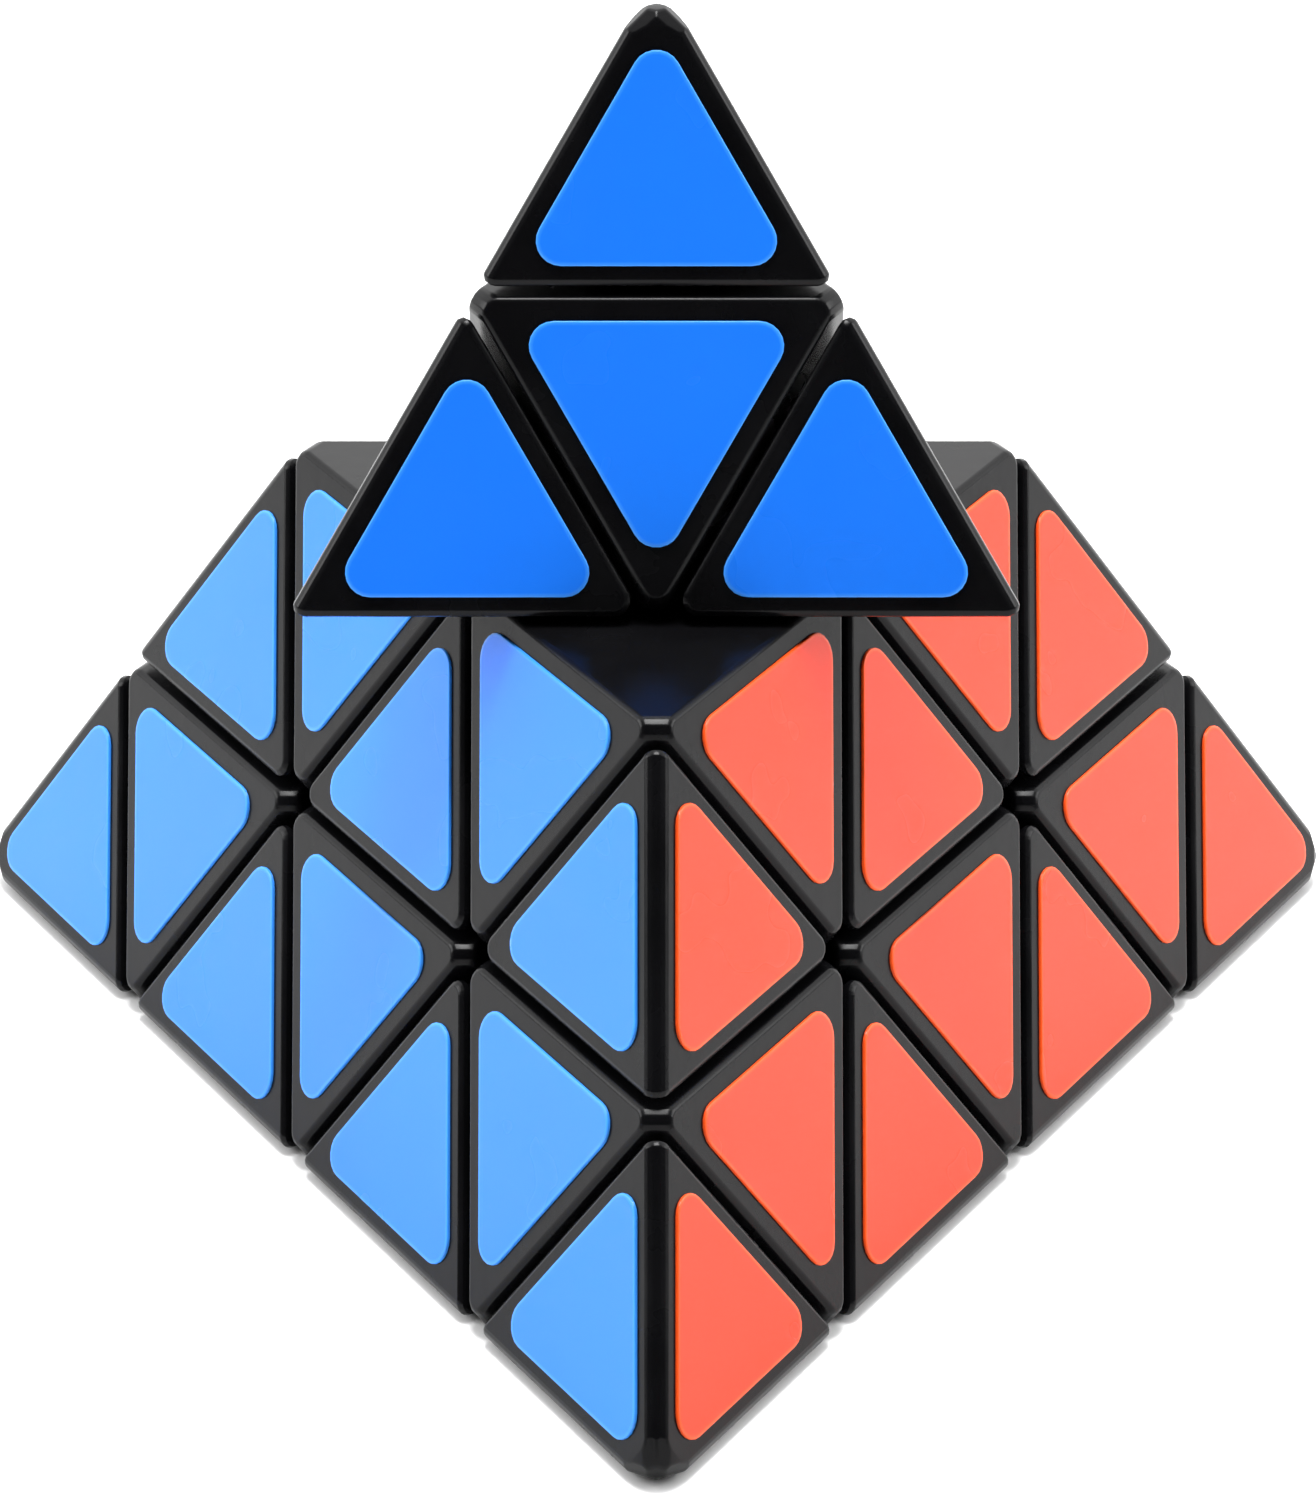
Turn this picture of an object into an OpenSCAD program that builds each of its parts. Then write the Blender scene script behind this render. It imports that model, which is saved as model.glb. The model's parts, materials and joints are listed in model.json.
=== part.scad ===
// Pyramid twisty puzzle with four layers, standing on one face.
// The origin is the middle of the face that it stands on, and +Z points at the top corner.
// Four corner axes meet in the pyramid's centre. Along each axis a cut lies 1 row from the centre
// (the two-layer turn) and another 2 rows from it (the tip). The three-layer cut goes through the centre.

/* [Pyramid] */
// Length of one edge of the whole pyramid, to its sharp corners
edge_len = 98; // [92:1:110]
// Turn of the top two layers away from solved, in degrees
top_turn = 60; // [0:60:120]

/* [Pieces] */
// Gap between two neighbouring pieces
piece_gap = 0.5; // [0.4:0.05:0.8]
// Rounding of the edges along the grooves
groove_round = 0.5; // [0.4:0.1:1]
// Rounding of the corners where grooves meet
corner_round = 1.2; // [0.6:0.1:1.4]
// Rounding of the pyramid's own edges
outer_round = 1; // [0.7:0.1:1.8]
// Rounding of the pyramid's four corners
tip_round = 1.6; // [1.2:0.1:2.2]

/* [Stickers] */
// Thickness of a sticker
sticker_t = 0.2; // [0.1:0.05:0.4]
// Black border between a sticker and a groove, on pieces with four sides
border = 1.8; // [1.2:0.05:2.2]
// Black border between a sticker and a groove, on pieces with eight sides
inner_border = 1.7; // [1.2:0.05:2.2]
// Black border between a sticker and an edge of the pyramid
outer_border = 2.05; // [1.6:0.05:2.6]
// Corner radius of a sticker
sticker_round = 1.6; // [0.8:0.1:2.4]

/* [Core] */
// Radius of the ball in the middle of the core
ball_r = 7.6; // [7:0.1:7.8]
// Radius of the core's four arms
arm_r = 3; // [2.6:0.1:3.2]
// Radial clearance of what turns on an arm or on a stem
running_clearance = 0.08; // [0.04:0.01:0.1]
// Radius of the screws' shanks
screw_r = 1.5; // [1.2:0.1:1.6]
// Radius of the screws' heads
screw_head_r = 2.9; // [2.6:0.1:3]
// Wire diameter of the springs
wire_d = 0.6; // [0.5:0.1:0.7]
// Number of turns of a spring
spring_turns = 4.5; // [3:0.5:5]

/* [Hidden] */
$fn = 48;

// Proportions of the pyramid: a row is one layer's height along a corner axis
row = edge_len * sqrt(2 / 3) / 4;
tile = edge_len / 4;
tile_h = tile * sqrt(3) / 2;
axis_angle = acos(-1 / 3);
face_tilt = acos(1 / 3);
centre_z = row + sticker_t;
far = 2 * edge_len;

// The four corners, and the direction of each from the centre
CORNERS = ["top", "front", "right", "left"];
corner_azimuth = [90, 270, 30, 150];
corner_lean = [0, axis_angle, axis_angle, axis_angle];
corner_turn = [top_turn, 0, 0, 0];
corner_dir = [for (i = [0:3]) polar(corner_lean[i], corner_azimuth[i])];

// The six edges, named by the corners that they join
EDGES = [[1, 0], [2, 0], [3, 0], [1, 3], [1, 2], [2, 3]];

// The four faces, each named by its colour and by the corner opposite to it
FACES = ["yellow", "green", "blue", "orange"];
sticker_rgb = [[0.98, 0.82, 0.1], [0.05, 0.62, 0.25], [0.15, 0.51, 0.99], [0.98, 0.42, 0.3]];

// Colour of the three facets of each corner group, in the order of the group's own faces
group_faces = [[1, 2, 3], [0, 3, 2], [0, 1, 3], [0, 2, 1]];

plastic = [0.06, 0.06, 0.065];
steel = [0.72, 0.73, 0.75];

// Feet that hold the inner layer together, as spherical bands about the centre: radii and half angle
face_foot = [0.4, 0.55] * row;
face_foot_angle = 40;
edge_foot = [0.59, 0.76] * row;
edge_foot_angle = 42;
cap_r = 0.775 * row;
foot_gap = 0.4;
neck_overlap = 0.6;

// Hooked foot of a wing, and the ring-shaped groove that it slides in: radii and levels on the corner axis
hook_radii = [0.44, 0.51, 0.58] * row;
hook_levels = [0.85, 0.92, 1.06] * row;
hook_half_angle = 28;
groove_radii = [0.42, 0.53, 0.6] * row;
groove_levels = [0.83, 0.94, 1.02] * row;
cap_edge_r = 0.415 * row;

// Flange under an axial, which holds the wings down
flange_r = 0.55 * row;
flange_levels = [1.15, 1.25] * row;
flange_gap = 0.35;

// Levels on a corner axis, from the centre outwards
arm_root = 0.3 * row;
pilot_bottom = 0.62 * row;
screw_bottom = 0.65 * row;
arm_top = 1.2 * row;
arm_seat = 1.215 * row;
spring_seat = 1.35 * row;
washer_seat = 1.585 * row;
washer_t = 0.6;
head_seat = 1.62 * row;
head_top = 1.72 * row;
socket_bottom = 1.75 * row;
snap_groove_levels = [1.79, 1.88] * row;
stem_bottom = 1.8 * row;
stem_rim_levels = [1.83, 1.865] * row;
stem_hollow_top = 2.2 * row;

// Radii on a corner axis
pilot_r = screw_r + 0.05;
shank_bore_r = screw_r + 0.2;
pocket_r = screw_head_r + 1;
socket_r = 4.5;
stem_r = socket_r - running_clearance;
stem_rim_r = stem_r + 0.4;
snap_groove_r = stem_rim_r + 0.2;
stem_hollow_r = 3.2;
washer_r = screw_head_r + 0.5;
spring_r = screw_r + 1.2;
recess = [3.6, 0.8, 1];

// A spring is swept from rings of a few points
wire_sides = 6;
turn_steps = 12;

function polar(lean, azimuth) = [sin(lean) * cos(azimuth), sin(lean) * sin(azimuth), cos(lean)];
function flat_polar(r, azimuth) = [r * cos(azimuth), r * sin(azimuth)];
function others(used) = [for (i = [0:3]) if (len(search(i, used)) == 0) i];
function across(a, axis) = let (b = a - (a * axis) * axis) b / norm(b);
function edge_name(e) = str("mid_edge_", CORNERS[e[0]], "_", CORNERS[e[1]]);

// A flat side of a piece: its outward normal, its distance from the centre, and whether it is outside
function cut(normal, level) = [normal, level * row - piece_gap / 2, false];
function skin(corner) = [-corner_dir[corner], row, true];

// The plane that takes off the edge between two sides, tangent to that edge's rounding
function edge_plane(p, q, r) =
    let (n = p[0] + q[0])
    [n / norm(n), (p[1] + q[1] - 2 * r) / norm(n) + r];

// Planes for the pairs of sides that lean apart. On a four-sided piece each pair meets in an edge,
// and on an eight-sided piece it meets only in a corner of the piece.
function steep_rounding(p, q, meets_in_edge) =
    p[2] && q[2] ? outer_round : p[2] != q[2] && meets_in_edge ? groove_round : corner_round;
function steep_planes(sides, meets_in_edge) = [
    for (i = [0:len(sides) - 2], j = [i + 1:len(sides) - 1])
        let (p = sides[i], q = sides[j])
        if (abs(p[0] * q[0] + 1 / 3) < 0.01)
            edge_plane(p, q, steep_rounding(p, q, meets_in_edge))
];

// Planes for the twelve edges of an eight-sided piece
function blunt_planes(sides) = [
    for (i = [0:len(sides) - 2], j = [i + 1:len(sides) - 1])
        let (p = sides[i], q = sides[j])
        if (abs(p[0] * q[0] - 1 / 3) < 0.01)
            edge_plane(p, q, groove_round)
];

// The plane that takes off the corner opposite side k of a four-sided piece
function corner_plane(sides, k) =
    let (rest = [for (i = [0:3]) if (i != k) sides[i]])
    let (r = rest[0][2] && rest[1][2] && rest[2][2] ? tip_round : groove_round)
    [-sides[k][0], rest[0][1] + rest[1][1] + rest[2][1] - 2 * r];

module toward(direction) {
    rotate([0, acos(direction.z), atan2(direction.y, direction.x)]) children();
}

module to_corner(i, turn = 0) {
    rotate([0, corner_lean[i], corner_azimuth[i]]) rotate([0, 0, turn - 90]) children();
}

module on_base() {
    translate([0, 0, centre_z]) children();
}

module in_group(i) {
    on_base() to_corner(i, corner_turn[i]) children();
}

// Puts a flat drawing on face k of a corner's own three faces, with +Y up the face to the corner
module on_face(k) {
    rotate([face_tilt, 0, 120 * k + 180]) translate([0, 0, row]) children();
}

module half_space(plane) {
    toward(plane[0]) translate([-far / 2, -far / 2, plane[1] - far]) cube(far);
}

module four_sided(sides) {
    corners = [for (k = [0:3]) corner_plane(sides, k)];
    intersection_for (plane = concat(sides, steep_planes(sides, true), corners))
        half_space(plane);
}

module eight_sided(sides) {
    intersection_for (plane = concat(sides, steep_planes(sides, false), blunt_planes(sides)))
        half_space(plane);
}

// Part of a thick ball, as far as the half angle from +Z
module ball_band(radii, half_angle) {
    rotate_extrude()
        intersection() {
            difference() {
                circle(radii[1]);
                circle(radii[0]);
            }
            polygon([[0, 0], [far * sin(half_angle), far * cos(half_angle)], [0, far]]);
        }
}

// A turned solid, from its outline as steps: each step is a radius and the level where it ends
module turned(bottom, steps) {
    bottoms = [for (i = [0:len(steps) - 1]) i == 0 ? bottom : steps[i - 1][1]];
    side = [for (i = [0:len(steps) - 1]) each [[steps[i][0], bottoms[i]], steps[i]]];
    top = steps[len(steps) - 1][1];
    rotate_extrude() polygon(concat([[0, bottom]], side, [[0, top]]));
}

// An L-shaped ring about the corner axis
module hook_ring(radii, levels) {
    rotate_extrude()
        polygon([
            [radii[0], levels[0]], [radii[2], levels[0]], [radii[2], levels[1]],
            [radii[1], levels[1]], [radii[1], levels[2]], [radii[0], levels[2]]
        ]);
}

// The core: a ball with an arm to each corner, drilled for the screws
module core() {
    color(plastic) on_base() difference() {
        union() {
            sphere(ball_r);
            for (d = corner_dir)
                toward(d) translate([0, 0, arm_root]) cylinder(r = arm_r, h = arm_top - arm_root);
        }
        for (d = corner_dir)
            toward(d) translate([0, 0, pilot_bottom]) cylinder(r = pilot_r, h = row);
    }
}

// A cap on an arm, under the axial. It holds down the feet of three mid-edge pieces.
module corner_cap(i) {
    c = corner_dir;
    sides = [cut(c[0], 1), cut(c[1], 0), cut(c[2], 0), cut(c[3], 0)];
    color(plastic) on_base() to_corner(i) difference() {
        intersection() {
            four_sided(sides);
            cylinder(r = cap_edge_r, h = far);
        }
        sphere(cap_r);
        translate([0, 0, arm_root]) cylinder(r = arm_r + running_clearance, h = far);
    }
}

// The piece in the middle of an edge, with two facets and a round foot cut flat beside the two arms
module mid_edge(e) {
    c = corner_dir;
    v = c[e[0]];
    w = c[e[1]];
    middle = (v + w) / norm(v + w);
    rest = others(e);
    x = c[rest[0]];
    y = c[rest[1]];
    sides = [
        cut(v, 1), cut(w, 1), skin(rest[0]), skin(rest[1]),
        cut(-v, 0), cut(-w, 0), cut(x, 0), cut(y, 0)
    ];
    color(plastic) on_base() difference() {
        union() {
            eight_sided(sides);
            intersection() {
                toward(middle)
                    ball_band([edge_foot[0] - neck_overlap, edge_foot[1]], edge_foot_angle);
                half_space([-across(middle, v), -arm_r - foot_gap]);
                half_space([-across(middle, w), -arm_r - foot_gap]);
            }
        }
        sphere(edge_foot[0]);
        for (i = e)
            to_corner(i) hook_ring(groove_radii, groove_levels);
    }
}

// The piece in the middle of the face opposite corner i, with one facet and a round foot
module face_centre(i) {
    c = corner_dir;
    rest = others([i]);
    sides = [skin(i), cut(-c[rest[0]], 0), cut(-c[rest[1]], 0), cut(-c[rest[2]], 0)];
    color(plastic) on_base() difference() {
        union() {
            difference() {
                four_sided(sides);
                sphere(face_foot[1] - neck_overlap);
            }
            toward(-c[i]) ball_band(face_foot, face_foot_angle);
        }
        for (e = EDGES)
            if (len(search(i, e)) == 0)
                toward((c[e[0]] + c[e[1]]) / norm(c[e[0]] + c[e[1]]))
                    ball_band(edge_foot + [-foot_gap, foot_gap], edge_foot_angle + 1.5);
    }
}

// Four screws, one in each arm, with a cross recess in the head
module screws() {
    color(steel) on_base() for (d = corner_dir)
        toward(d) difference() {
            turned(screw_bottom, [[screw_r, head_seat], [screw_head_r, head_top]]);
            for (a = [0, 90])
                translate([0, 0, head_top]) rotate([0, 0, a])
                    cube([recess.x, recess.y, 2 * recess.z], center = true);
        }
}

module washers() {
    color(steel) on_base() for (d = corner_dir)
        toward(d) translate([0, 0, washer_seat]) difference() {
            cylinder(r = washer_r, h = washer_t);
            cylinder(r = shank_bore_r, h = 3 * washer_t, center = true);
        }
}

// One compression spring, from its seat in the axial up to the washer
module spring() {
    bottom = spring_seat + wire_d / 2 + 0.1;
    height = washer_seat - wire_d / 2 - 0.1 - bottom;
    rings = turn_steps * spring_turns;
    points = [
        for (i = [0:rings], k = [0:wire_sides - 1])
            let (r = spring_r + wire_d / 2 * cos(k * 360 / wire_sides))
            let (z = bottom + height * i / rings + wire_d / 2 * sin(k * 360 / wire_sides))
            concat(flat_polar(r, i * 360 / turn_steps), z)
    ];
    walls = [
        for (i = [0:rings - 1], k = [0:wire_sides - 1])
            let (a = i * wire_sides + k, b = i * wire_sides + (k + 1) % wire_sides)
            each [[a, a + wire_sides, b], [b, a + wire_sides, b + wire_sides]]
    ];
    first = [for (k = [0:wire_sides - 1]) k];
    last = [for (k = [wire_sides - 1:-1:0]) rings * wire_sides + k];
    polyhedron(points, concat(walls, [first, last]));
}

module springs() {
    color(steel) on_base() for (d = corner_dir)
        toward(d) spring();
}

// The eight-sided piece behind a tip: it turns on the arm, and the tip snaps into it
module axial(i) {
    c = corner_dir;
    sides = [
        cut(c[0], 2), skin(1), skin(2), skin(3),
        cut(-c[0], -1), cut(c[1], 0), cut(c[2], 0), cut(c[3], 0)
    ];
    color(plastic) in_group(i) difference() {
        union() {
            eight_sided(sides);
            turned(flange_levels[0], [[flange_r, flange_levels[1]]]);
        }
        turned(0, [
            [arm_r + running_clearance, arm_seat],
            [shank_bore_r, spring_seat],
            [pocket_r, socket_bottom],
            [socket_r, snap_groove_levels[0]],
            [snap_groove_r, snap_groove_levels[1]],
            [socket_r, far]
        ]);
    }
}

// Wing k of corner i, under the flange of its axial, with a hooked foot in the ring-shaped groove
module wing(i, k) {
    c = corner_dir;
    rest = others([0, k + 1]);
    sides = [cut(-c[0], -1), cut(-c[k + 1], 0), skin(rest[0]), skin(rest[1])];
    middle = 270 + 120 * k;
    wedge = [for (a = [-1, 1]) flat_polar(2 * row, middle + a * hook_half_angle)];
    color(plastic) in_group(i) {
        difference() {
            four_sided(sides);
            turned(flange_levels[0] - flange_gap,
                [[flange_r + flange_gap, flange_levels[1] + flange_gap]]);
        }
        intersection() {
            hook_ring(hook_radii, hook_levels);
            linear_extrude(2 * row) polygon(concat([[0, 0]], wedge));
        }
    }
}

// A tip, hollow behind, with the stem that snaps into the axial
module tip(i) {
    c = corner_dir;
    color(plastic) in_group(i) difference() {
        union() {
            four_sided([cut(-c[0], -2), skin(1), skin(2), skin(3)]);
            rotate_extrude() polygon([
                [0, stem_bottom], [stem_r - 0.1, stem_bottom], [stem_rim_r, stem_rim_levels[0]],
                [stem_rim_r, stem_rim_levels[1]], [stem_r, stem_rim_levels[1]],
                [stem_r, 2.1 * row], [0, 2.1 * row]
            ]);
        }
        turned(row, [[stem_hollow_r, stem_hollow_top]]);
    }
}

// A rounded triangle on one tile. The borders are those of its base and of its right and left sides.
module sticker(base, right, left) {
    angles = [90, 210, 330];
    height = tile_h - base - right - left;
    shift = (flat_polar(base, 90) + flat_polar(right, 210) + flat_polar(left, 330)) * 2 / 3;
    round_at = height * 2 / 3 - 2 * sticker_round;
    outline = [
        for (a = angles, side = [-60, 60])
            flat_polar(round_at, a) + flat_polar(sticker_round, a + side)
    ];
    translate(shift) linear_extrude(sticker_t) {
        polygon(outline);
        for (a = angles)
            translate(flat_polar(round_at, a)) circle(sticker_round);
    }
}

module inner_sticker() {
    rotate([0, 0, 180]) sticker(inner_border, inner_border, inner_border);
}

module tip_stickers(i) {
    in_group(i) for (k = [0:2])
        color(sticker_rgb[group_faces[i][k]]) on_face(k) translate([0, 2 * tile_h, 0])
            sticker(border, outer_border, outer_border);
}

// The stickers of an axial and of two wings on face k of corner i
module group_stickers(i, k) {
    color(sticker_rgb[group_faces[i][k]]) in_group(i) on_face(k) {
        translate([0, tile_h * 4 / 3, 0]) inner_sticker();
        translate([tile / 2, tile_h, 0]) sticker(border, outer_border, border);
        translate([-tile / 2, tile_h, 0]) sticker(border, border, outer_border);
    }
}

// The stickers of the face opposite corner i that belong to no corner group
module centre_stickers(i) {
    from = i == 0 ? 1 : 0;
    k = i == 0 ? 0 : i - 1;
    color(sticker_rgb[i]) on_base() to_corner(from) on_face(k) {
        sticker(border, border, border);
        translate([tile / 2, tile_h / 3, 0]) inner_sticker();
        translate([-tile / 2, tile_h / 3, 0]) inner_sticker();
        translate([0, -tile_h * 2 / 3, 0]) inner_sticker();
    }
}

core();
screws();
springs();
washers();
for (i = [0:3]) {
    corner_cap(i);
    face_centre(i);
    centre_stickers(i);
    axial(i);
    tip(i);
    tip_stickers(i);
}
for (e = EDGES)
    mid_edge(e);
for (i = [0:3], k = [0:2]) {
    wing(i, k);
    group_stickers(i, k);
}
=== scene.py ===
"""Looks of the four-layer pyramid twisty puzzle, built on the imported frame."""

import itertools
import json
import math

import bmesh
import bpy
import numpy as np
from mathutils import Matrix, Vector


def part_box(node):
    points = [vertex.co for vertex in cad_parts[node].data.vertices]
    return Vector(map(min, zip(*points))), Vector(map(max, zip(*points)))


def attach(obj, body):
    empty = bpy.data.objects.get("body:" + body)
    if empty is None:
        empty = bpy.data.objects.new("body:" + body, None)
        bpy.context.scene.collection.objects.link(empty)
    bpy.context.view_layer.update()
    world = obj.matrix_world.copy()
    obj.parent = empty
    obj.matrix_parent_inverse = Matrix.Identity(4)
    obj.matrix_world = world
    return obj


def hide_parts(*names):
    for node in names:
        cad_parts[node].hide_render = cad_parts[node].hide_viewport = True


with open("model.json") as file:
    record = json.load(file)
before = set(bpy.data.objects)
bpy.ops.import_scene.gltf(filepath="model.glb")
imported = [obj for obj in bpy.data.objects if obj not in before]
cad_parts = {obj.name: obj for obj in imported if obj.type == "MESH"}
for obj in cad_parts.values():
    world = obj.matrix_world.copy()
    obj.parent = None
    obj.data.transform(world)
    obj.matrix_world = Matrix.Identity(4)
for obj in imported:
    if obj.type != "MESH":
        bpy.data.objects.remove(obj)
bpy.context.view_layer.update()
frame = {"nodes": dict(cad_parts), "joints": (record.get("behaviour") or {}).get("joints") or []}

# ---------------------------------------------------------------- proportions, in metres
CORNERS = ("top", "front", "right", "left")
FACES = ("yellow", "green", "blue", "orange")      # face f lies opposite corner f
EDGES = ((1, 0), (2, 0), (3, 0), (1, 3), (1, 2), (2, 3))
TOWARD = ((1, 2, 3), (0, 3, 2), (0, 1, 3), (0, 2, 1))   # corner that wing 1, 2, 3 points at

joints = {j["name"]: j for j in frame["joints"]}
CENTRE = Vector(joints["top_two_layer_turn"]["pos_m"])
AXES = [Vector(joints[c + "_two_layer_turn"]["axis"]).normalized() for c in CORNERS]

STICKER_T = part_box("centre_stickers_yellow")[1][2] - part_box("centre_stickers_yellow")[0][2]
ROW = CENTRE.z - STICKER_T          # height of one layer, along a corner axis
TILE = ROW * math.sqrt(1.5)         # side of one small triangle
TOP_TURN = math.radians(60)         # the top two layers are half way round to the next position

GAP = 0.0005                # between neighbouring pieces
GROOVE_ROUND = 0.0005       # rounding of the edges along the grooves
CORNER_ROUND = 0.0012       # rounding of the corners where grooves meet
OUTER_ROUND = 0.001         # rounding of the pyramid's own edges
TIP_ROUND = 0.0016          # rounding of the pyramid's four corners
ROUND_STEPS = 4             # strips in each rounded edge
FLAT_STEPS = 6              # steps between the flats that a larger rounding starts from
BORDER = 0.0018             # black border from a sticker to a groove, on pieces with four sides
INNER_BORDER = 0.0017       # the same on pieces with eight sides
OUTER_BORDER = 0.00205      # black border from a sticker to an edge of the pyramid
STICKER_ROUND = 0.0016      # corner radius of a sticker

# Inner shapes on a corner axis, as in the CAD model: radii in metres and levels in rows
ARM_R = 0.003               # arm of the core
RUNNING = 0.00008           # clearance of what turns on an arm or in a socket
FOOT_GAP = 0.0004           # room beside a foot
FACE_FOOT = (0.4 * ROW, 0.55 * ROW, 40)         # radii, and half angle in degrees
EDGE_FOOT = (0.59 * ROW, 0.76 * ROW, 42)
FOOT_SPARE_ANGLE = 1.5      # room past a foot's edge, in degrees
NECK = 0.0006               # overlap of a foot with its piece
FLANGE_R, FLANGE_GAP = 0.55 * ROW, 0.00035
FLANGE_LEVELS = (1.15, 1.25)
HOOK_RADII, HOOK_LEVELS = (0.44, 0.51, 0.58), (0.85, 0.92, 1.06)
GROOVE_RADII, GROOVE_LEVELS = (0.42, 0.53, 0.6), (0.83, 0.94, 1.02)
HOOK_HALF_ANGLE = 28
SHANK_BORE_R, POCKET_R, SOCKET_R = 0.0017, 0.0039, 0.0045
STEM_R = SOCKET_R - RUNNING
STEM_RIM_R = STEM_R + 0.0004
SNAP_GROOVE_R = STEM_RIM_R + 0.0002
STEM_HOLLOW_R = 0.0032
STEM_LEAD = 0.0001          # how much narrower the stem starts
STEM_BOTTOM, STEM_RIM, STEM_NECK, STEM_TOP = 1.8, 1.83, 1.865, 2.1
HOLLOW_TOP = 2.2            # depth of the tip's hollow
ARM_BORE_TOP, SHANK_BORE_TOP, POCKET_TOP = 1.215, 1.35, 1.75
SNAP_GROOVE_LEVELS = (1.79, 1.88)
SOCKET_TOP = 4              # past the end of the axial
AROUND = 64                 # sides of a turned surface

# Stickers: how far each ring of the outline is drawn in, its height as a part of the thickness,
# and how much of the painted rim highlight it has, a paler colour standing in for the edge catching
# the light
STICKER_RINGS = ((0.0, 0.0, 0.6), (0.0, 0.65, 0.6), (0.00004, 0.9, 0.6), (0.0001, 1.0, 0.45),
                 (0.0003, 1.0, 0.0))
ROUND_ANGLE = math.radians(120)     # turn of the outline at a sticker's corner

# Camera, with lengths in edges of the pyramid
CAMERA_DISTANCE, CAMERA_ELEVATION = 5.334, math.radians(27.52)
CAMERA_TARGET = (0.001, 0.241)      # to the right and up
SENSOR = 36                         # millimetres
LENS = 5.23333 * SENSOR
BACKDROP = (-0.42, 0.15)            # where the backdrop starts and where it is fully bright
BACKDROP_SIDE = -0.45               # darkening towards the sides
ROOM_LIGHT, BACKDROP_LIGHT = 0.02, 2.4


# ---------------------------------------------------------------- materials
NOISE_SPAN = (0.3, 0.7)     # where nearly all of a noise's values lie


def new_material(name):
    mat = bpy.data.materials.new(name)
    mat.use_nodes = True
    nodes = mat.node_tree.nodes
    return mat, mat.node_tree, nodes["Principled BSDF"]


def add(tree, kind, **values):
    """A shader node, with its properties and its sockets' values set by name."""
    node = tree.nodes.new(kind)
    for key, value in values.items():
        if key in node.bl_rna.properties:
            setattr(node, key, value)
        else:
            node.inputs[key.replace("_", " ")].default_value = value
    return node


def object_noise(tree, scale, detail):
    """Noise in the object's own coordinates. Scale is in blobs per metre."""
    coord = add(tree, "ShaderNodeTexCoord")
    noise = add(tree, "ShaderNodeTexNoise", Scale=scale, Detail=detail)
    tree.links.new(coord.outputs["Object"], noise.inputs["Vector"])
    return noise.outputs["Fac"]


def map_range(tree, source, start, end, low, high, **values):
    """Maps start .. end to low .. high."""
    node = add(tree, "ShaderNodeMapRange", **values)
    for socket, value in zip(("From Min", "From Max", "To Min", "To Max"),
                             (start, end, low, high)):
        node.inputs[socket].default_value = value
    tree.links.new(source, node.inputs["Value"])
    return node.outputs["Result"]


def spread(tree, noise, low, high):
    """Maps noise, which stays near the middle of 0 .. 1, to low .. high."""
    return map_range(tree, noise, *NOISE_SPAN, low, high)


def bump(tree, shader, height, strength, distance):
    """Relief of a surface. Distance is in metres."""
    node = add(tree, "ShaderNodeBump", Strength=strength, Distance=distance)
    tree.links.new(height, node.inputs["Height"])
    tree.links.new(node.outputs["Normal"], shader.inputs["Normal"])


def mix_colours(tree, factor, a, b):
    """A colour between a and b."""
    node = add(tree, "ShaderNodeMix", data_type="RGBA")
    node.inputs["A"].default_value = (*a, 1)
    node.inputs["B"].default_value = (*b, 1)
    tree.links.new(factor, node.inputs["Factor"])
    return node.outputs["Result"]


def black_plastic(name, colour=(0.0024, 0.0024, 0.0028), sheen=(0.2, 0.3)):
    """Satin moulded plastic: handling marks in its gloss and a faint moulding ripple."""
    mat, tree, shader = new_material(name)
    blotches = object_noise(tree, 140, 4.0)
    tree.links.new(spread(tree, blotches, *sheen), shader.inputs["Roughness"])
    tint = mix_colours(tree, spread(tree, blotches, 0, 1),
                       colour, [1.6 * c for c in colour])
    tree.links.new(tint, shader.inputs["Base Color"])
    shader.inputs["IOR"].default_value = 1.22
    ripple = object_noise(tree, 900, 2.0)
    bump(tree, shader, ripple, 0.12, 0.00008)
    return mat


def vinyl(name, colour):
    """Sticker vinyl: an even colour, a soft gloss with fine ripple, and a painted highlight on its
    rim: a paler colour where the cut edge would catch the light.
    """
    mat, tree, shader = new_material(name)
    cloud = object_noise(tree, 45, 3.0)
    body = mix_colours(tree, spread(tree, cloud, 0, 1),
                       [0.93 * c for c in colour], colour)
    # painted highlight: the rim attribute mixes in a paler colour where the sticker's edge would
    # catch the light
    rim = add(tree, "ShaderNodeAttribute", attribute_name="rim")
    edge = add(tree, "ShaderNodeMix", data_type="RGBA")
    edge.inputs["B"].default_value = (*[c ** 0.6 for c in colour], 1)
    tree.links.new(rim.outputs["Fac"], edge.inputs["Factor"])
    tree.links.new(body, edge.inputs["A"])
    tree.links.new(edge.outputs["Result"], shader.inputs["Base Color"])
    scuffs = object_noise(tree, 120, 2.0)
    tree.links.new(spread(tree, scuffs, 0.22, 0.29), shader.inputs["Roughness"])
    shader.inputs["IOR"].default_value = 1.36
    ripple = object_noise(tree, 500, 2.0)
    bump(tree, shader, ripple, 0.015, 0.00005)
    return mat


def plated_steel(name):
    mat, tree, shader = new_material(name)
    grain = object_noise(tree, 700, 4.0)
    tint = mix_colours(tree, grain, (0.55, 0.56, 0.58), (0.68, 0.68, 0.69))
    tree.links.new(tint, shader.inputs["Base Color"])
    tree.links.new(spread(tree, grain, 0.22, 0.4), shader.inputs["Roughness"])
    shader.inputs["Metallic"].default_value = 1.0
    bump(tree, shader, grain, 0.1, 0.00003)
    return mat


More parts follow.
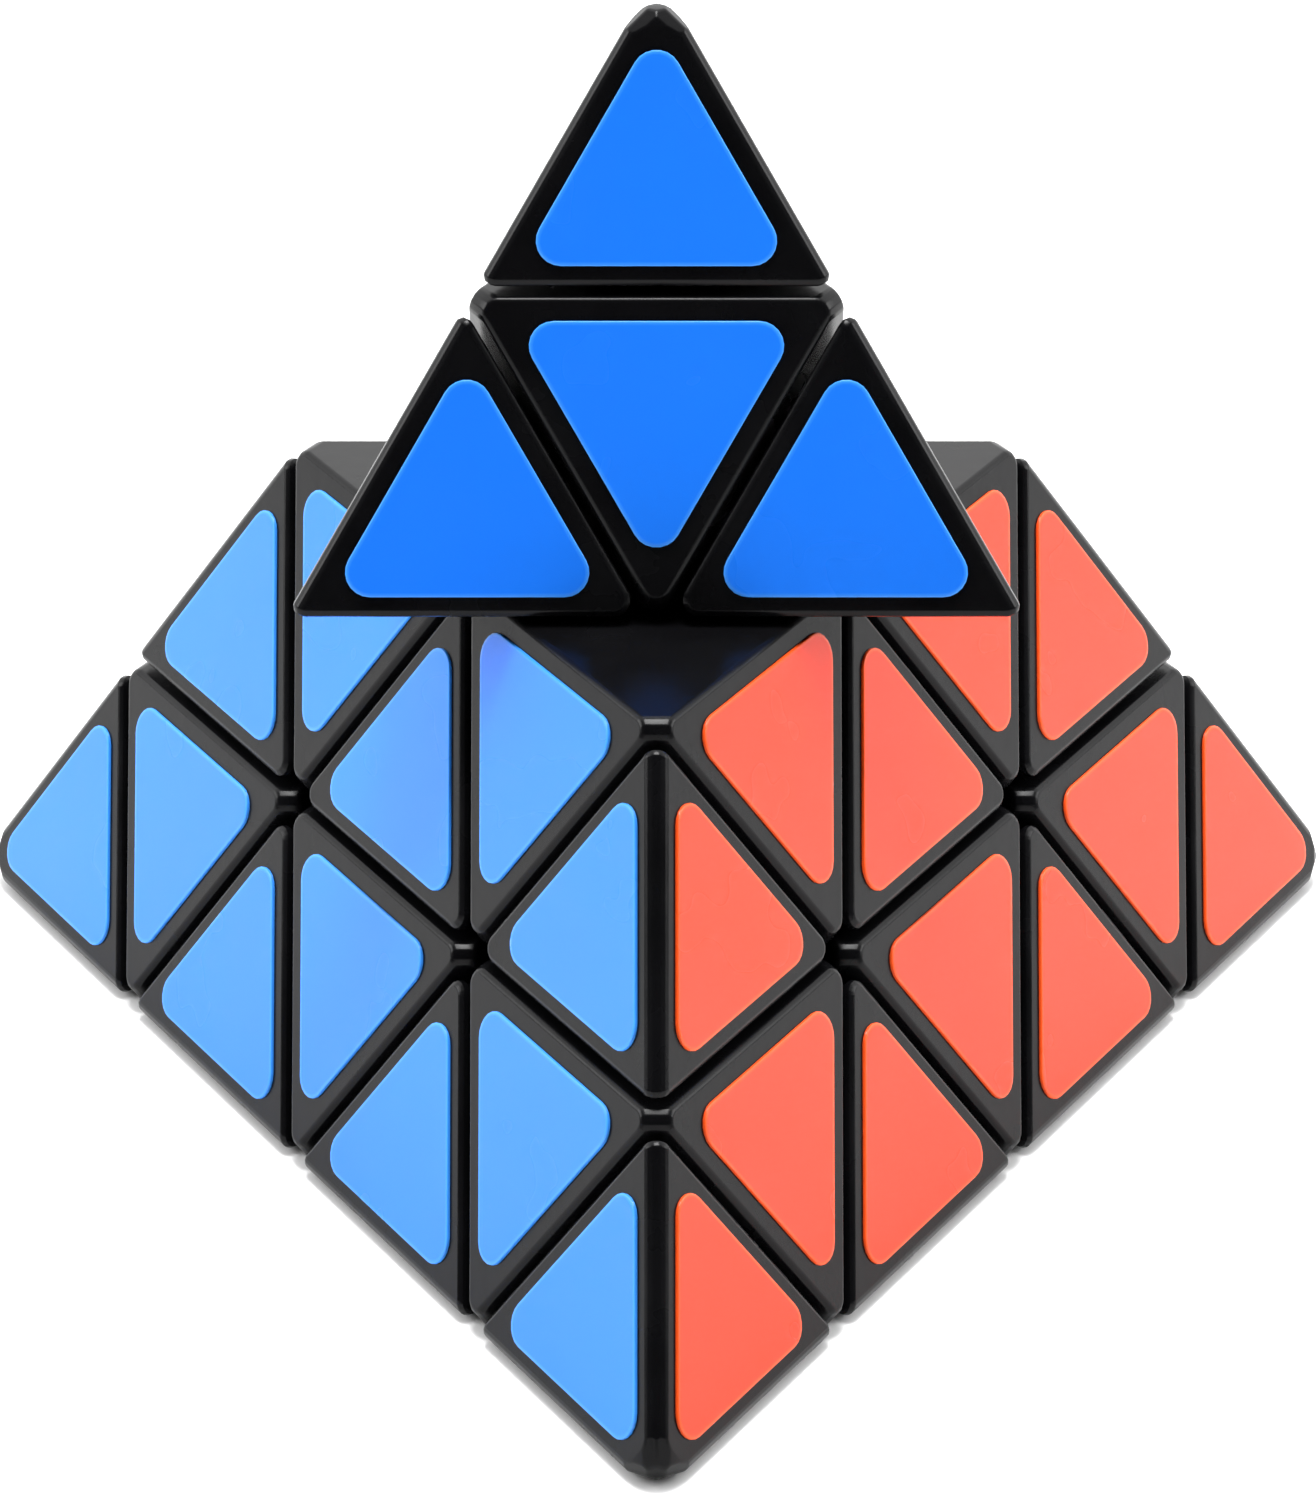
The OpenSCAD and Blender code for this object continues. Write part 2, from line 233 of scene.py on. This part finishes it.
SHELL = black_plastic("moulded_black")
CORE = black_plastic("core_black", (0.03, 0.03, 0.033), (0.35, 0.5))
STEEL = plated_steel("zinc_steel")
VINYL = {
    "yellow": vinyl("vinyl_yellow", (0.9, 0.56, 0.01)),
    "green": vinyl("vinyl_green", (0.005, 0.2, 0.035)),
    "blue": vinyl("vinyl_blue", (0.012, 0.2, 0.98)),
    "orange": vinyl("vinyl_orange", (0.95, 0.036, 0.002)),
}


# ---------------------------------------------------------------- rounded pieces
def cut(normal, level):
    """An inner side of a piece, half a gap back from the cut at that many rows."""
    return (normal, level * ROW - GAP / 2, False)


def skin(corner):
    """The outer side of a piece on the face opposite that corner."""
    return (-AXES[corner], ROW, True)


def rounding_flats(sides, radius):
    """Flats tangent to a rounding between sides, one for each direction between them."""
    normals = np.array([n for n, _, _ in sides])
    middle = np.linalg.lstsq(normals, [d - radius for _, d, _ in sides], rcond=None)[0]
    flats = []
    for parts in itertools.product(range(1, FLAT_STEPS), repeat=len(sides)):
        if sum(parts) == FLAT_STEPS:
            n = Vector(parts @ normals).normalized()
            flats.append((n, n.dot(middle) + radius, True))
    return flats


def larger_roundings(sides):
    """The flats for every rounding of a piece that is larger than those along its grooves."""
    flats = []
    for p, q in itertools.combinations(sides, 2):
        outside = p[2] + q[2]
        if abs(p[0].dot(q[0]) + 1 / 3) > 0.01 or (outside == 1 and len(sides) == 4):
            continue
        flats += rounding_flats((p, q), OUTER_ROUND if outside == 2 else CORNER_ROUND)
    skins = [side for side in sides if side[2]]
    if len(skins) == 3 and len(sides) == 4:
        flats += rounding_flats(skins, TIP_ROUND)
    return flats


def meeting_points(normals, offsets):
    """Corners of the solid that the planes bound: {three plane numbers: point}."""
    points = {}
    for three in itertools.combinations(range(len(normals)), 3):
        m = normals[list(three)]
        if abs(np.linalg.det(m)) < 1e-4:
            continue
        p = np.linalg.solve(m, offsets[list(three)])
        if (normals @ p <= offsets + 1e-12).all():
            points[three] = p
    return points


def round_patch(a, b, c, steps):
    """Unit directions over the rounded corner between three sides, as a triangular grid."""
    grid = {}
    for i in range(steps + 1):
        for j in range(steps + 1 - i):
            k = steps - i - j
            grid[i, j] = (a * i + b * j + c * k).normalized()
    return grid


def rounded_solid(sides, radius, steps=ROUND_STEPS):
    """Vertices and faces of the convex solid inside the sides, with every edge rounded."""
    planes = list(sides) + larger_roundings(sides)
    # a hair's difference between offsets keeps to three planes at every corner
    normals = np.array([n for n, _, _ in planes])
    nudge = 1e-9 * np.arange(1, len(planes) + 1) ** 1.5
    offsets = np.array([d for _, d, _ in planes]) - radius - nudge
    corners = meeting_points(normals, offsets)
    dirs = [Vector(n) for n in normals]
    verts, faces = [], []

    def put(points):
        start = len(verts)
        verts.extend(points)
        return list(range(start, len(verts)))

    for i, n in enumerate(dirs):
        ring = [Vector(p) for three, p in corners.items() if i in three]
        if len(ring) < 3:
            continue
        middle = sum(ring, Vector()) / len(ring)
        across = n.orthogonal().normalized()
        up = n.cross(across)
        ring.sort(key=lambda p: math.atan2((p - middle).dot(up), (p - middle).dot(across)))
        faces.append(put([p + n * radius for p in ring]))
    for i, j in itertools.combinations(range(len(dirs)), 2):
        ends = [Vector(p) for three, p in corners.items() if i in three and j in three]
        if len(ends) != 2:
            continue
        arc = [(dirs[i] * (steps - s) + dirs[j] * s).normalized() for s in range(steps + 1)]
        near = put([ends[0] + d * radius for d in arc])
        distant = put([ends[1] + d * radius for d in arc])
        for s in range(steps):
            faces.append([near[s], near[s + 1], distant[s + 1], distant[s]])
    for three, p in corners.items():
        grid = round_patch(*[dirs[i] for i in three], steps)
        index = dict(zip(grid, put([Vector(p) + d * radius for d in grid.values()])))
        for i, j in grid:
            if i + j < steps:
                faces.append([index[i, j], index[i + 1, j], index[i, j + 1]])
            if i + j < steps - 1:
                faces.append([index[i + 1, j], index[i + 1, j + 1], index[i, j + 1]])
    return verts, faces


def closed_mesh(verts, faces):
    """A mesh with its doubled points merged and its faces turned outwards."""
    mesh = bpy.data.meshes.new("solid")
    mesh.from_pydata([Vector(v) for v in verts], [], faces)
    bm = bmesh.new()
    bm.from_mesh(mesh)
    bmesh.ops.remove_doubles(bm, verts=bm.verts, dist=2e-6)
    bmesh.ops.dissolve_degenerate(bm, edges=bm.edges, dist=1e-6)
    bmesh.ops.recalc_face_normals(bm, faces=bm.faces)
    bm.to_mesh(mesh)
    bm.free()
    return mesh


def smooth(obj, angle=math.radians(32)):
    """Smooth shading that keeps the flats flat and the machined edges sharp."""
    obj.data.shade_smooth()
    obj.data.set_sharp_from_angle(angle=angle)
    weighted = obj.modifiers.new("flat_faces", "WEIGHTED_NORMAL")
    weighted.keep_sharp = True
    weighted.weight = 80


# ---------------------------------------------------------------- turned and cut shapes
def revolved(outline, sides=AROUND):
    """A closed solid turned about Z from its outline of (radius, level) points."""
    verts, faces, rings = [], [], []
    for radius, level in outline:
        if radius < 1e-9:
            rings.append([len(verts)] * sides)
            verts.append((0, 0, level))
            continue
        rings.append(list(range(len(verts), len(verts) + sides)))
        verts += [(radius * math.cos(2 * math.pi * n / sides),
                   radius * math.sin(2 * math.pi * n / sides), level) for n in range(sides)]
    for low, high in zip(rings, rings[1:] + rings[:1]):
        for n in range(sides):
            m = (n + 1) % sides
            face = list(dict.fromkeys([low[n], low[m], high[m], high[n]]))
            if len(face) > 2:
                faces.append(face)
    return closed_mesh(verts, faces)


def turned(bottom, *steps):
    """A turned solid from its steps: each step is a radius and the level, in rows, where it ends."""
    outline, level = [(0, bottom * ROW)], bottom * ROW
    for radius, top in steps:
        outline += [(radius, level), (radius, top * ROW)]
        level = top * ROW
    return revolved(outline + [(0, level)])


def ball_band(inner, outer, half_angle, steps=14):
    """Part of a thick ball, as far as the half angle from +Z."""
    angles = [math.radians(half_angle) * n / steps for n in range(steps + 1)]
    return revolved([(outer * math.sin(a), outer * math.cos(a)) for a in angles]
                    + [(inner * math.sin(a), inner * math.cos(a)) for a in reversed(angles)])


def ball(radius, steps=28):
    """A ball round the centre."""
    angles = [math.pi * n / steps for n in range(steps + 1)]
    return revolved([(radius * math.sin(a), radius * math.cos(a)) for a in angles])


def hook_ring(radii, levels):
    """A ring with a hook's section: wide below and narrow above."""
    (a, b, c), (low, middle, high) = radii, levels
    outline = [(a, low), (c, low), (c, middle), (b, middle), (b, high), (a, high)]
    return revolved([(r * ROW, z * ROW) for r, z in outline])


def beyond(normal, level):
    """A block on the far side of a plane, larger than any piece."""
    size = 8 * ROW
    across = normal.orthogonal().normalized()
    up = normal.cross(across)
    verts = [normal * (level + d * size) + (across * a + up * b) * size / 2
             for d in (0, 1) for a, b in ((-1, -1), (1, -1), (1, 1), (-1, 1))]
    faces = [(0, 1, 2, 3), (4, 5, 6, 7), (0, 1, 5, 4), (1, 2, 6, 5), (2, 3, 7, 6), (3, 0, 4, 7)]
    return closed_mesh(verts, faces)


def aimed(mesh, direction):
    """Turns a mesh made about +Z to a direction."""
    mesh.transform(direction.to_track_quat("Z", "Y").to_matrix().to_4x4())
    return mesh


def combined(base, *changes):
    """The base mesh after a row of changes, each an operation and a mesh."""
    for operation, mesh in changes:
        pair = [bpy.data.objects.new("part", data) for data in (base, mesh)]
        for obj in pair:
            bpy.context.collection.objects.link(obj)
        change = pair[0].modifiers.new("change", "BOOLEAN")
        change.operation = operation
        change.object = pair[1]
        change.solver = "EXACT"
        ready = pair[0].evaluated_get(bpy.context.evaluated_depsgraph_get())
        base = bpy.data.meshes.new_from_object(ready)
        for obj in pair:
            bpy.data.objects.remove(obj)
    return base


def edge_direction(a, b):
    """From the centre to the middle of the edge between two corners."""
    return (AXES[a] + AXES[b]).normalized()


def across(a, axis):
    """The direction of a as seen along the axis."""
    return (a - axis * a.dot(axis)).normalized()


def rounded(*sides):
    """A piece's convex body inside its sides."""
    return closed_mesh(*rounded_solid(sides, GROOVE_ROUND))


def tip_mesh():
    """The top tip, hollow behind, with the stem that snaps into the axial."""
    stem = revolved([(r, z * ROW) for r, z in (
        (0, STEM_BOTTOM), (STEM_R - STEM_LEAD, STEM_BOTTOM), (STEM_RIM_R, STEM_RIM),
        (STEM_RIM_R, STEM_NECK), (STEM_R, STEM_NECK), (STEM_R, STEM_TOP), (0, STEM_TOP))])
    return combined(rounded(cut(-AXES[0], -2), skin(1), skin(2), skin(3)), ("UNION", stem),
                    ("DIFFERENCE", turned(1, (STEM_HOLLOW_R, HOLLOW_TOP))))


def axial_mesh():
    """The top axial, bored for its arm, screw and spring, with the flange over its wings."""
    flange = turned(FLANGE_LEVELS[0], (FLANGE_R, FLANGE_LEVELS[1]))
    bore = turned(0, (ARM_R + RUNNING, ARM_BORE_TOP), (SHANK_BORE_R, SHANK_BORE_TOP),
                  (POCKET_R, POCKET_TOP), (SOCKET_R, SNAP_GROOVE_LEVELS[0]),
                  (SNAP_GROOVE_R, SNAP_GROOVE_LEVELS[1]), (SOCKET_R, SOCKET_TOP))
    return combined(rounded(cut(AXES[0], 2), cut(-AXES[0], -1), skin(1), skin(2), skin(3),
                            cut(AXES[1], 0), cut(AXES[2], 0), cut(AXES[3], 0)),
                    ("UNION", flange), ("DIFFERENCE", bore))


def wing_mesh():
    """Wing 1 of the top corner, with its hooked foot."""
    room = FLANGE_GAP / ROW
    recess = turned(FLANGE_LEVELS[0] - room, (FLANGE_R + FLANGE_GAP, FLANGE_LEVELS[1] + room))
    outward = across(AXES[1], AXES[0])
    turn = math.pi / 2 + math.radians(HOOK_HALF_ANGLE)
    hook = combined(hook_ring(HOOK_RADII, HOOK_LEVELS),
                    *[("DIFFERENCE", beyond(Matrix.Rotation(a, 3, "Z") @ outward, 0))
                      for a in (-turn, turn)])
    return combined(rounded(cut(-AXES[0], -1), cut(-AXES[1], 0), skin(2), skin(3)),
                    ("DIFFERENCE", recess), ("UNION", hook))


def mid_edge_mesh():
    """The piece between the top and front corners, with its round foot cut flat beside the arms."""
    middle = edge_direction(0, 1)
    inner, outer, angle = EDGE_FOOT
    beside = [("DIFFERENCE", beyond(-across(middle, AXES[n]), -ARM_R - FOOT_GAP)) for n in (0, 1)]
    foot = combined(aimed(ball_band(inner - NECK, outer, angle), middle), *beside)
    grooves = [("DIFFERENCE", aimed(hook_ring(GROOVE_RADII, GROOVE_LEVELS), AXES[n]))
               for n in (0, 1)]
    return combined(rounded(cut(AXES[0], 1), cut(AXES[1], 1), skin(2), skin(3),
                            cut(-AXES[0], 0), cut(-AXES[1], 0), cut(AXES[2], 0), cut(AXES[3], 0)),
                    ("UNION", foot), ("DIFFERENCE", ball(inner)), *grooves)


def face_centre_mesh():
    """The middle piece of the face opposite the top, with its round foot clear of the others."""
    inner, outer, angle = EDGE_FOOT
    room = [("DIFFERENCE", aimed(ball_band(inner - FOOT_GAP, outer + FOOT_GAP,
                                           angle + FOOT_SPARE_ANGLE), edge_direction(a, b)))
            for a, b in ((1, 2), (1, 3), (2, 3))]
    inner, outer, angle = FACE_FOOT
    return combined(rounded(skin(0), cut(-AXES[1], 0), cut(-AXES[2], 0), cut(-AXES[3], 0)),
                    ("DIFFERENCE", ball(outer - NECK)),
                    ("UNION", aimed(ball_band(inner, outer, angle), -AXES[0])), *room)


# ---------------------------------------------------------------- shells in their places
AT_CENTRE = Matrix.Translation(CENTRE)
TURNED = AT_CENTRE @ Matrix.Rotation(TOP_TURN, 4, "Z")


def place_of(corner):
    """Where a corner's pieces are at rest."""
    return TURNED if corner == 0 else AT_CENTRE


def others(*used):
    """The corners that aren't named."""
    return [i for i in range(4) if i not in used]


def spin(*order):
    """The turn that takes corners 0, 1, 2, 3 to the corners in this order."""
    axes = np.array(AXES)
    return Matrix((0.75 * axes[list(order)].T @ axes).tolist()).to_4x4()


def shell_piece(name, node, body, mesh, place):
    """One moulded piece in its place, riding on its body."""
    obj = bpy.data.objects.new(name, mesh.copy())
    obj.data.transform(place)
    bpy.context.collection.objects.link(obj)
    smooth(obj)
    obj.data.materials.append(SHELL)
    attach(obj, body)
    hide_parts(node)
    return obj


TIP, AXIAL, WING = tip_mesh(), axial_mesh(), wing_mesh()
MID_EDGE, FACE_CENTRE = mid_edge_mesh(), face_centre_mesh()
for i, corner in enumerate(CORNERS):
    to_corner = spin(i, *TOWARD[i])
    place = place_of(i) @ to_corner
    shell_piece(corner + "_tip_shell", corner + "_tip", corner + "_tip_body", TIP, place)
    shell_piece(corner + "_axial_shell", corner + "_axial", corner + "_group", AXIAL, place)
    for k in range(3):
        shell_piece(f"{corner}_wing_shell_{k + 1}", f"{corner}_wing_{k + 1}", corner + "_group",
                    WING, place @ Matrix.Rotation(math.radians(120 * k), 4, "Z"))
    face = FACES[i]
    shell_piece("face_centre_shell_" + face, "face_centre_" + face, "centre", FACE_CENTRE,
                AT_CENTRE @ to_corner)
for a, b in EDGES:
    name = f"{CORNERS[a]}_{CORNERS[b]}"
    x, y = others(a, b)
    turn = spin(a, b, x, y)
    if turn.determinant() < 0:
        turn = spin(a, b, y, x)
    shell_piece("mid_edge_shell_" + name, "mid_edge_" + name, "centre", MID_EDGE, AT_CENTRE @ turn)


# ---------------------------------------------------------------- stickers
def grid_point(i, **parts):
    """A point of the pyramid's grid: from corner i, so many quarter edges towards others."""
    corner = AXES[i] * 3 * ROW
    return corner + sum(((AXES[CORNERS.index(c)] * 3 * ROW - corner) * n / 4
                         for c, n in parts.items()), Vector())


def tiles_of(face):
    """The 16 tiles of a face: (owner node, body, corner, three corner points, inner border)."""
    rest = others(face)
    found = []
    for i in rest:
        j, k = [m for m in rest if m != i]
        cj, ck = CORNERS[j], CORNERS[k]
        tip = grid_point(i)
        pj, pk = grid_point(i, **{cj: 1}), grid_point(i, **{ck: 1})
        mid = grid_point(i, **{cj: 1, ck: 1})
        ej, ek = grid_point(i, **{cj: 2}), grid_point(i, **{ck: 2})
        c = CORNERS[i]
        found.append((c + "_tip_stickers", c + "_tip_body", i, (tip, pj, pk), BORDER))
        group = (f"{c}_stickers_{FACES[face]}", c + "_group", i)
        found += [(*group, (mid, pk, pj), INNER_BORDER), (*group, (pj, ej, mid), BORDER),
                  (*group, (pk, mid, ek), BORDER)]
    centre = ("centre_stickers_" + FACES[face], "centre", None)
    inner = {i: grid_point(i, **{CORNERS[m]: 1 for m in rest if m != i}) for i in rest}
    found.append((*centre, tuple(inner.values()), BORDER))
    for i, j in itertools.combinations(rest, 2):
        found.append((*centre, (grid_point(i, **{CORNERS[j]: 2}), inner[i], inner[j]),
                      INNER_BORDER))
    return found


def on_pyramid_edge(p, q, face):
    """Do both points lie on the same edge of the pyramid?"""
    return any(abs(p.dot(-AXES[f]) - ROW) < 1e-6 and abs(q.dot(-AXES[f]) - ROW) < 1e-6
               for f in others(face))


def sticker_outline(points, face, groove_border, inset, steps=7):
    """The sticker's outline on its tile, as points in order, drawn in by inset."""
    normal = -AXES[face]
    middle = sum(points, Vector()) / 3
    if (points[1] - points[0]).cross(points[2] - points[0]).dot(normal) < 0:
        points = (points[0], points[2], points[1])
    sides = []
    for n in range(3):
        p, q = points[n], points[(n + 1) % 3]
        border = OUTER_BORDER if on_pyramid_edge(p, q, face) else groove_border
        outward = (q - p).cross(normal).normalized()
        sides.append((outward, outward.dot(p - middle) - border - inset))
    radius = STICKER_ROUND - inset
    outline = []
    for n in range(3):
        (u, du), (v, dv) = sides[n], sides[(n + 1) % 3]
        # centre of the rounding: at its radius inside both sides
        dot = u.dot(v)
        eu, ev = du - radius, dv - radius
        a, b = (eu - dot * ev) / (1 - dot * dot), (ev - dot * eu) / (1 - dot * dot)
        hub = middle + u * a + v * b
        for s in range(steps + 1):
            t = ROUND_ANGLE * s / steps
            w = normal.cross(u)
            outline.append(hub + (u * math.cos(t) + w * math.sin(t)) * radius)
    return outline


def sticker_mesh(name, tiles, face, place):
    """All of a group's stickers on one face, each a thin sheet with a softened cut edge and a
    painted highlight on its rim.
    """
    normal = -AXES[face]
    verts, faces, painted_rim_highlight = [], [], []
    for points, groove_border in tiles:
        start, count = len(verts), 0
        for inset, height, rim in STICKER_RINGS:
            outline = sticker_outline(points, face, groove_border, inset)
            count = len(outline)
            verts += [p + normal * STICKER_T * height for p in outline]
            # painted highlight: how much paler colour each ring of the rim gets
            painted_rim_highlight += [rim] * count
        for r in range(len(STICKER_RINGS) - 1):
            low, high = start + r * count, start + (r + 1) * count
            faces += [[low + n, low + (n + 1) % count, high + (n + 1) % count, high + n]
                      for n in range(count)]
        top = start + (len(STICKER_RINGS) - 1) * count
        faces.append(list(range(top, top + count)))
        faces.append(list(range(start + count - 1, start - 1, -1)))
    mesh = bpy.data.meshes.new(name)
    mesh.from_pydata([place @ v for v in verts], [], faces)
    painted_rim_layer = mesh.attributes.new("rim", "FLOAT", "POINT")
    painted_rim_layer.data.foreach_set("value", painted_rim_highlight)
    obj = bpy.data.objects.new(name, mesh)
    bpy.context.collection.objects.link(obj)
    return obj


for face, colour in enumerate(FACES):
    owners = {}
    for node, body, corner, points, groove_border in tiles_of(face):
        owners.setdefault((node, body, corner), []).append((points, groove_border))
    for (node, body, corner), tiles in owners.items():
        place = AT_CENTRE if corner is None else place_of(corner)
        name = node + "_vinyl" if colour in node else f"{node}_{colour}_vinyl"
        obj = sticker_mesh(name, tiles, face, place)
        smooth(obj, math.radians(50))
        obj.data.materials.append(VINYL[colour])
        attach(obj, body)
        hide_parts(node)


# ---------------------------------------------------------------- inner pieces
for name, node in frame["nodes"].items():
    if name in ("screws", "springs", "washers"):
        inner = STEEL
    elif name == "core":
        inner = CORE
    elif name.startswith("corner_cap"):
        inner = SHELL
    else:
        continue
    node.data.materials.clear()
    node.data.materials.append(inner)


# ---------------------------------------------------------------- floor, light and camera
def soft_light(name, azimuth, elevation, distance, size, power):
    """A white disk of light that faces the puzzle. Angles are in degrees, and power is in watts."""
    data = bpy.data.lights.new(name, "AREA")
    data.shape = "DISK"
    data.size = size
    data.energy = power
    obj = bpy.data.objects.new(name, data)
    bpy.context.collection.objects.link(obj)
    a, e = math.radians(azimuth), math.radians(elevation)
    ray = Vector((math.cos(e) * math.cos(a), math.cos(e) * math.sin(a), math.sin(e)))
    obj.location = CENTRE + ray * distance
    obj.rotation_euler = ray.to_track_quat("Z", "Y").to_euler()


def make_floor():
    """A pale floor just under the stickers that the puzzle rests on."""
    bpy.ops.mesh.primitive_plane_add(size=6, location=(0, 0, -0.00002))
    floor = bpy.context.object
    floor.name = "floor"
    mat, tree, shader = new_material("floor_white")
    grain = object_noise(tree, 60, 2.0)
    tint = mix_colours(tree, grain, (0.93, 0.93, 0.93), (0.95, 0.95, 0.95))
    tree.links.new(tint, shader.inputs["Base Color"])
    shader.inputs["Roughness"].default_value = 0.9
    shader.inputs["Specular IOR Level"].default_value = 0.1
    floor.data.materials.append(mat)


def make_camera():
    """The camera looks a little down at the puzzle's front corner, from half a metre away."""
    edge = 4 * TILE
    right, up = CAMERA_TARGET
    target = Vector((right * edge, 0, up * edge + STICKER_T))
    data = bpy.data.cameras.new("camera")
    data.sensor_width = SENSOR
    data.lens = LENS
    camera = bpy.data.objects.new("camera", data)
    bpy.context.collection.objects.link(camera)
    ray = Vector((0, -math.cos(CAMERA_ELEVATION), math.sin(CAMERA_ELEVATION)))
    camera.location = target + ray * edge * CAMERA_DISTANCE
    camera.rotation_euler = ray.to_track_quat("Z", "Y").to_euler()
    data.clip_start = 0.01
    bpy.context.scene.camera = camera


def make_world():
    """A white backdrop behind the object, and a room that darkens to the sides and the front."""
    world = bpy.data.worlds.new("studio")
    world.use_nodes = True
    tree = world.node_tree
    coord = add(tree, "ShaderNodeTexCoord")
    axes = add(tree, "ShaderNodeSeparateXYZ")
    tree.links.new(coord.outputs["Generated"], axes.inputs["Vector"])
    square = add(tree, "ShaderNodeMath", operation="MULTIPLY")
    tree.links.new(axes.outputs["X"], square.inputs[0])
    tree.links.new(axes.outputs["X"], square.inputs[1])
    behind = add(tree, "ShaderNodeMath", operation="MULTIPLY_ADD")
    tree.links.new(square.outputs["Value"], behind.inputs[0])
    behind.inputs[1].default_value = BACKDROP_SIDE
    tree.links.new(axes.outputs["Y"], behind.inputs[2])
    light = map_range(tree, behind.outputs["Value"], *BACKDROP, ROOM_LIGHT, BACKDROP_LIGHT,
                      interpolation_type="SMOOTHSTEP")
    back = tree.nodes["Background"]
    back.inputs["Color"].default_value = (1, 1, 1, 1)
    tree.links.new(light, back.inputs["Strength"])
    bpy.context.scene.world = world


make_floor()
make_camera()
make_world()
soft_light("overhead_softbox", 90, 84, 1.0, 0.35, 10.0)
soft_light("left_softbox", 176, 26, 0.7, 0.4, 2.9)
soft_light("right_softbox", 4, 26, 0.7, 0.4, 2.9)
bpy.context.scene.view_settings.view_transform = "Standard"
